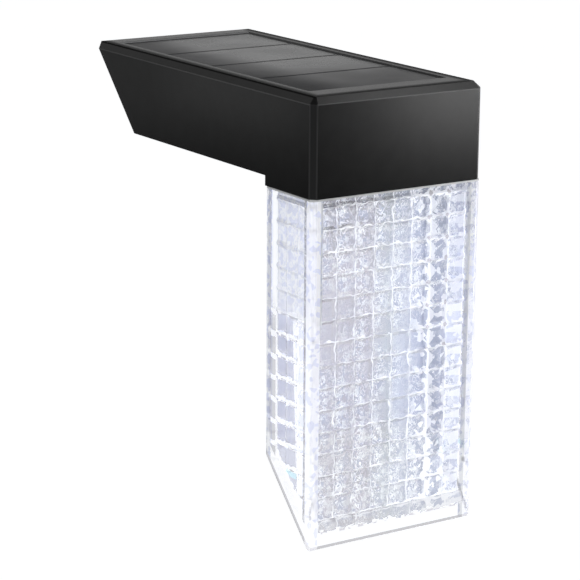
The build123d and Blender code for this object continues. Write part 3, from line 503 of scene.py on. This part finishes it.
class LensLook(Look):
    """Clear moulded plastic: smooth outside, with small bevelled tiles on its inner walls.

    What the lit tiles show, their refracted light, glints and dark reflections, is painted on the inner
    walls as light and shade. across, inward and down are the tiles' own coordinates, whole numbers on the
    grooves.
    """

    def __init__(self):
        super().__init__("lens_clear")
        self.low, self.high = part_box("lens")
        self.inner_half = self.high.x - WALL
        self.inner_front = self.low.y + WALL
        self.x, self.y, self.z = self.axes()
        self.width = self.math("ABSOLUTE", self.x)
        self.lay_tiles()
        self.find_walls()
        self.scatter()

        front, sparkle = self.paint_front()
        side, painted_side = self.paint_side()
        back = self.blend(self.less(self.gap, BACK_LINE_HALF), MIST, CLEAR)
        floor = self.blend(self.more(self.facet[1], 0.45), LAVENDER, CLEAR)
        color = self.blend(self.on_side, CLEAR, side)
        color = self.blend(self.on_back, color, back)
        color = self.blend(self.on_front, color, front)
        color = self.blend(self.on_floor, color, floor)
        color, post, hem, others = self.paint_outside(color, front)

        painted = self.either(self.on_front, self.both(self.on_side, painted_side), post, hem, others)
        # above the first groove, and in the sides' upper part, the plastic keeps back more light
        solid = self.both(self.on_front, self.less(self.down, 0.15))
        solid = self.either(solid, self.both(self.on_side, self.upper))
        painted = self.math("MULTIPLY_ADD", solid, SOLID_COVER, painted)
        # painted glow on the posts, and a share of it on the hem and the sparkles
        glowing = self.either(post, self.math("MULTIPLY", self.either(hem, sparkle), SPARKLE))
        wave = self.noise(WAVE_GRAIN, 2.0)
        self.set(
            Base_Color=color,
            Transmission_Weight=self.math("MULTIPLY_ADD", painted, -PAINT_COVER, 1.0),
            IOR=LENS_IOR,
            Roughness=self.span(wave, *MID_NOISE, 0.01, 0.05),
            Normal=self.bump(wave, 0.05 * MM, 0.5),
            Emission_Color=EMISSION_COLOR,
            Emission_Strength=self.math("MULTIPLY_ADD", glowing, POST_GLOW, GLOW),
        )

    def lay_tiles(self):
        """The tiles' coordinates, and how far it is to the nearest painted grooves, in tiles."""
        inner_depth = self.high.y - BACK_WALL - self.inner_front
        column = 2 * self.inner_half / FRONT_COLUMNS
        side_column = inner_depth / SIDE_COLUMNS
        first_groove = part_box("lens_gasket")[0].z - TILE_MARGIN
        self.across = self.math("MULTIPLY_ADD", self.x, 1 / column, FRONT_COLUMNS / 2)
        self.inward = self.math("MULTIPLY_ADD", self.y, 1 / side_column, -self.inner_front / side_column)
        self.down = self.math("MULTIPLY_ADD", self.z, -1 / TILE_HEIGHT, first_groove / TILE_HEIGHT)
        self.stray = self.node("SeparateXYZ", {0: self.noise(WANDER_GRAIN, 1.0, output="Color")}).outputs
        self.gap_across = self.groove_gap(self.across, self.stray[0])
        self.gap_down = self.groove_gap(self.down, self.stray[1])
        self.gap = self.math("MINIMUM", self.gap_across, self.gap_down)
        self.off_corner = self.math("ADD", self.gap_across, self.gap_down)

    def groove_gap(self, place, stray):
        """Distance to the nearest of the grooves, which wander a little."""
        centred = self.math("SUBTRACT", place, GROOVE_WANDER / 2)
        return self.math("PINGPONG", self.math("MULTIPLY_ADD", stray, GROOVE_WANDER, centred), 0.5)

    def find_walls(self):
        """Masks of the inner walls and the floor, and of the outer front and sides."""
        low, high = self.low, self.high
        self.above_floor = self.math("MULTIPLY_ADD", self.y, -FLOOR_SLOPE, self.z)
        self.underside = low.z - FLOOR_SLOPE * low.y
        floor_level = self.underside + FLOOR_LIFT
        floor_top = floor_level + 0.3 * MM
        self.hollow = self.more(self.above_floor, floor_top)
        front = self.between(self.inward, -GROOVE_REACH, WALL_REACH)
        back = self.between(self.inward, SIDE_COLUMNS - WALL_REACH, SIDE_COLUMNS + GROOVE_REACH)
        side = self.between(self.width, self.inner_half - 0.4 * MM, self.inner_half + 1.5 * MM)
        self.on_front = self.both(self.hollow, front)
        self.on_back = self.both(self.hollow, back)
        self.on_side = self.both(self.hollow, side)
        self.on_floor = self.both(
            self.between(self.above_floor, floor_level - 0.5 * MM, floor_top),
            self.less(self.width, self.inner_half + 0.1 * MM),
        )
        self.on_outer_front = self.less(self.y, low.y + FACE_SLACK)
        self.on_outer_side = self.more(self.width, high.x - FACE_SLACK)
        self.lower = self.span(self.down, *SIDE_CHANGES)
        self.upper = self.math("SUBTRACT", 1.0, self.lower)

    def scatter(self):
        """A random number for each tile, small facets, and fine curls of light and shade."""
        steps = [self.math("FLOOR", place) for place in (self.across, self.inward, self.down)]
        cell = self.node("CombineXYZ", dict(enumerate(steps))).outputs[0]
        self.chance = self.node("TexWhiteNoise", {"Vector": cell}).outputs["Value"]
        facets = self.node("TexVoronoi", {"Vector": self.place, "Scale": 1 / FACET_GRAIN})
        self.facet = self.node("SeparateXYZ", {0: facets.outputs["Color"]}).outputs
        curl = self.noise(CURL_GRAIN, 2.0, stretch=(1, 1, 0.8), distortion=1.5)
        self.curl_light = self.curl_line(curl, *LIGHT_CURL)
        self.curl_dark = self.curl_line(curl, *DARK_CURL)

    def curl_line(self, curl, level, full, end, strength):
        """Soft line along a level of the noise."""
        return self.span(self.distance(curl, level), full, end, strength, 0.0)

    def paint_front(self):
        """Front wall: lavender on the left, blue in the middle, slate with pale corners on the right.

        Places are columns from the left and rows from the top. Returns the wall's colour and how much
        it sparkles.
        """
        across, down, facet = self.across, self.down, self.facet
        past_groove = self.math("FRACT", across)
        place = self.math("DIVIDE", across, FRONT_COLUMNS)
        place = self.math("MULTIPLY_ADD", self.chance, TINT_STRAY, place)
        color = self.ramp(place, *FRONT_TINTS)
        top_shade = self.span(across, 4.0, 7.0, TOP_LEFT_SHADE, TOP_RIGHT_SHADE)
        shade = self.span(down, -0.5, 4.0, top_shade, self.span(down, 8.0, 12.0, 1.0, FOOT_SHADE))
        # each tile has its own tone, and painted shade makes it lighter towards its left groove
        tone_and_shade = self.math("MULTIPLY_ADD", self.chance, TILE_TONE_AND_SHADE, 1.02)
        tone_and_shade = self.math("MULTIPLY_ADD", past_groove, -TILE_TONE_AND_SHADE, tone_and_shade)
        shaded = self.node("VectorMath", {0: color, 1: self.both(shade, tone_and_shade)}, operation="MULTIPLY")
        color = shaded.outputs[0]

        # painted light and shade: facets and curls, in clouds that thicken towards the top and the foot
        from_middle = self.math("MULTIPLY", self.distance(down, 6.0), 0.030)
        cloud = self.math("ADD", self.noise(CLOUD_GRAIN, 2.0), from_middle)
        left_half = self.span(past_groove, 0.45, 0.75, 1.0, 0.45)
        busy = self.both(self.span(cloud, 0.44, 0.62, 0.2, 1.2), left_half)
        color = self.blend(self.both(busy, self.span(facet[0], 0.15, 0.25, 0.5, 0.0)), color, SLATE)
        color = self.blend(self.both(busy, self.span(facet[0], 0.70, 0.80, 0.0, 0.55)), color, CLEAR)
        color = self.blend(self.both(busy, self.curl_dark), color, SLATE)
        glint = self.both(busy, self.curl_light, 0.85)
        color = self.blend(glint, color, CLEAR)

        # right columns: painted highlights as pale facets, spikes, wedges and corners
        to_right = self.span(across, *RIGHT_SETS_IN)
        row_place = self.math("FRACT", down)
        off_middle = self.distance(row_place, 0.5)
        pale_facet = self.both(to_right, self.more(facet[2], 0.80))
        spike = self.less(self.math("ADD", past_groove, off_middle), 0.5)
        spike = self.both(self.between(across, 6.0, 7.0), spike)
        wedge = self.math("MULTIPLY_ADD", past_groove, -0.14, self.distance(row_place, 0.35))
        wedge = self.less(wedge, self.math("MULTIPLY", self.chance, 0.1))
        wedge = self.both(self.more(across, 7.0), wedge)
        corner_size = self.math("MULTIPLY_ADD", self.chance, 0.25, 0.10)
        pale_corner = self.both(to_right, self.less(self.off_corner, corner_size))
        pale = self.both(
            self.either(pale_facet, spike, wedge, pale_corner),
            self.span(down, 0.0, 5.0, 0.7, 0.9),
            self.span(across, 6.9, 7.1, 1.0, 0.75),
        )
        color = self.blend(pale, color, CLEAR)

        # painted highlights along the grooves' own lines, bright by stretches
        line = self.both(
            self.less(self.gap, self.math("MULTIPLY_ADD", to_right, WIDER_LINE, LINE_HALF)),
            self.span(self.stray[2], 0.35, 0.6, 0.15, 0.95),
        )
        color = self.blend(line, color, CLEAR)

        # painted dark reflections: slanted chips, two to a row, below row 2; dark stars on the crossings
        # above row 7
        chip_row = self.distance(off_middle, 0.25)
        chip_column = self.distance(across, self.math("MULTIPLY_ADD", off_middle, 0.9, 6.35))
        chip = self.less(self.math("MULTIPLY_ADD", chip_row, 0.8, chip_column), 0.18)
        color = self.blend(self.both(chip, self.more(down, 2.0)), color, SLATE)
        star = self.both(self.between(across, 5.5, 7.5), self.less(self.off_corner, 0.13))
        color = self.blend(self.both(star, self.less(down, 7.0)), color, UMBER)
        return color, self.both(self.on_front, self.either(pale, line, glint))

    def paint_side(self):
        """Side walls, painted with the light and shade seen through them: curls at the top, windows at the
        back, and clear with short strokes at the front.

        Returns their colour and the mask of what is painted. The right wall is painted all over.
        """
        back_part = self.more(self.inward, self.math("MULTIPLY_ADD", self.down, -0.06, 1.9))
        front_part = self.math("SUBTRACT", 1.0, back_part)
        window = self.both(back_part, self.lower, self.more(self.gap_down, WINDOW_BAR_HALF))
        strokes = self.noise(STROKE_GRAIN, 1.0, stretch=(1, 1, 0.25))
        stroke = self.both(front_part, self.span(strokes, 0.64, 0.68, 0.0, 0.8))
        chips = self.span(self.facet[1], 0.60, 0.70, 0.0, 0.6)
        curls = self.both(self.upper, self.either(self.curl_dark, chips))
        color = self.blend(self.either(window, stroke, curls), CLEAR, MIST)
        color = self.blend(self.math("MULTIPLY", window, WINDOW_TINT), color, LAVENDER)
        color = self.blend(self.both(back_part, self.between(self.down, *FOOT_LINE)), color, CYAN)
        return color, self.either(window, stroke, self.upper, self.more(self.x, 0.0))

    def paint_outside(self, color, front):
        """Solid plastic round the hollow, painted with the light seen through it, and with a painted glow
        on the posts and the hem.

        Returns the colour, and the masks of the posts, of the hem and of what else is painted.
        """
        low, high = self.low, self.high
        # the posts at the front corners, and the back wall's ends, painted pale; the posts also glow, as
        # painted light
        post = self.either(
            self.both(self.on_outer_front, self.more(self.width, self.inner_half + 0.2 * MM)),
            self.both(self.on_outer_side, self.less(self.y, self.inner_front - 0.6 * MM)),
        )
        heel = self.both(self.on_outer_side, self.more(self.y, high.y - BACK_WALL + 0.4 * MM))
        color = self.blend(post, color, self.blend(self.more(self.facet[2], 0.75), CLEAR, MIST))
        # the front's pattern goes on over the right post
        ninth = self.between(self.x, self.inner_half - 1.4 * MM, high.x - 1.2 * MM)
        ninth = self.both(self.on_outer_front, ninth)
        color = self.blend(ninth, color, front)
        color = self.blend(heel, color, self.blend(self.more(self.facet[2], 0.6), CLEAR, MIST))
        # the windows go on over the back wall's end
        rear = self.both(
            self.on_outer_side,
            self.between(self.y, high.y - 5.4 * MM, high.y - 2.4 * MM),
            self.lower,
            self.more(self.gap_down, WINDOW_BAR_HALF),
            self.hollow,
        )
        color = self.blend(self.math("MULTIPLY", rear, WINDOW_TINT), color, LAVENDER)
        # the ragged hem under the tiles, with the front's painted light and shade and a little painted
        # glow
        ragged = self.math("ADD", self.gap_across, self.facet[2])
        ragged = self.math("MULTIPLY_ADD", ragged, 1.2 * MM, self.z)
        hem = self.both(
            self.more(ragged, low.z + HEM_LEVELS[0]),
            self.less(self.z, low.z + HEM_LEVELS[1]),
            self.on_outer_front,
            self.less(self.width, self.inner_half),
        )
        color = self.blend(hem, color, front)
        # a thin outline of painted shade along the foot and the right front edge, where the rounded edges
        # look dark
        near_edge = self.either(
            self.less(self.above_floor, self.underside + OUTLINE_WIDTH),
            self.more(self.math("SUBTRACT", self.x, self.y), high.x - low.y - 0.9 * MM),
        )
        outline = self.both(self.either(self.on_outer_front, self.on_outer_side), near_edge)
        color = self.blend(self.math("MULTIPLY", outline, OUTLINE_TINT), color, UMBER)
        return color, post, hem, self.either(heel, outline, ninth, rear)


# ---------------------------------------------------------------- the other materials
def resin_clear():
    """Clear cast resin over the cells, hazier towards the left and the front edge."""
    look = Look("resin_clear")
    low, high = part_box("solar_cells")
    x, y, _ = look.axes()
    pitch = (high.y - low.y + CELL_GAP) / CELL_COUNT
    along = look.math("MULTIPLY_ADD", y, 1 / pitch, -(low.y - CELL_GAP / 2) / pitch)
    seam = look.span(look.math("PINGPONG", along, 0.5), 0.0, 0.05, 1.0, 0.0)
    gloss = look.span(look.noise(14 * MM, 1.0), *MID_NOISE, 0.24, 0.28)
    left_haze = look.span(x, low.x, low.x + 18 * MM, 0.24, 0.0)
    front_haze = look.span(y, low.y, 0.0, 0.16, 0.0)
    rough = look.math("ADD", gloss, look.math("ADD", left_haze, front_haze))
    look.set(
        Base_Color=(0.03, 0.03, 0.032),
        Transmission_Weight=0.5,
        IOR=1.13,
        Roughness=look.math("MULTIPLY_ADD", seam, 0.3, rough),
        Normal=look.bump(seam, -0.09 * MM),
    )
    return look.material


def solar_cell():
    """Dark blue-black silicon with fine silver fingers across it."""
    look = Look("solar_cell")
    inputs = {"Vector": look.place, "Scale": 1 / FINGER_PITCH / (2 * pi)}
    wave = look.node("TexWave", inputs, bands_direction="X").outputs[1]
    look.set(
        Base_Color=look.ramp(wave, (0.90, (0.010, 0.012, 0.020)), (0.98, grey(0.05))),
        Roughness=0.4,
        Normal=look.bump(look.noise(1 * MM), 0.01 * MM, 0.4),
    )
    return look.material


def led_lit():
    """Lit phosphor."""
    look = Look("led_lit")
    glow = look.ramp(look.noise(1.5 * MM), (0.3, (0.80, 0.86, 1.0)), (0.7, (0.92, 0.95, 1.0)))
    look.set(Base_Color=(0.9, 0.85, 0.5), Emission_Color=glow, Emission_Strength=4.0)
    return look.material


# the plainer materials, with what surface asks for: plastics, rubbers and boards, metals, the button
PLAIN = {
    "seal_pale": (grey(0.62), grey(0.70), (0.5, 0.65), 0.3, 0.01),
    "seal_black": (grey(0.012), grey(0.02), (0.6, 0.8), 0.3, 0.02),
    "tape_black": (grey(0.01), grey(0.018), (0.7, 0.9), 0.2, 0.03),
    "solar_board_black": (grey(0.006), grey(0.010), (0.35, 0.5), 0.5, 0.01),
    "reflector_white": (grey(0.85), grey(0.9), (0.3, 0.4), 0.5, 0.005),
    "board_white": (grey(0.78), grey(0.84), (0.35, 0.5), 0.4, 0.01),
    "board_green": ((0.008, 0.07, 0.025), (0.012, 0.10, 0.035), (0.3, 0.45), 0.4, 0.01),
    "chip_black": (grey(0.012), grey(0.02), (0.5, 0.65), 0.15, 0.01),
    "ferrite_grey": (grey(0.07), grey(0.11), (0.5, 0.7), 0.2, 0.02),
    "switch_black": (grey(0.012), grey(0.018), (0.4, 0.5), 0.2, 0.01),
    "stem_white": (grey(0.7), grey(0.78), (0.4, 0.5), 0.2, 0.008),
    "cell_sleeve": ((0.02, 0.10, 0.22), (0.03, 0.13, 0.27), (0.25, 0.35), 0.6, 0.008),
    "holder_black": (grey(0.01), grey(0.016), (0.45, 0.6), 0.3, 0.01),
    "lead_red": ((0.35, 0.012, 0.01), (0.42, 0.02, 0.015), (0.4, 0.5), 0.2, 0.01),
    "lead_black": (grey(0.012), grey(0.018), (0.4, 0.5), 0.2, 0.01),
    "screw_steel": (grey(0.42), grey(0.55), (0.25, 0.38), 0.15, 0.008, 1.0, 0.15),
    "can_aluminium": (grey(0.62), grey(0.72), (0.22, 0.34), 0.2, 0.006, 1.0),
    "contact_steel": (grey(0.5), grey(0.6), (0.2, 0.32), 0.15, 0.006, 1.0),
    "cap_grey": (grey(0.16), grey(0.20), (0.5, 0.62), 0.25, 0.02, 0.0, 0.2),
}

MATERIALS = {name: surface(name, *look) for name, look in PLAIN.items()}
MATERIALS.update(
    housing_black=housing_black(),
    lens_clear=LensLook().material,
    resin_clear=resin_clear(),
    solar_cell=solar_cell(),
    led_lit=led_lit(),
)


def dress_nodes():
    """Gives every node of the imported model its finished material, by its material slot."""
    for piece in cad.values():
        for place in piece.material_slots:
            slot = place.material.name.split(".")[0]
            place.material = MATERIALS[slot]


bpy.context.scene.view_settings.view_transform = "Standard"
make_camera()
make_world()
make_floor()
make_cards()
for name, settings in SOFTBOXES.items():
    softbox(name, *settings)
dress_nodes()
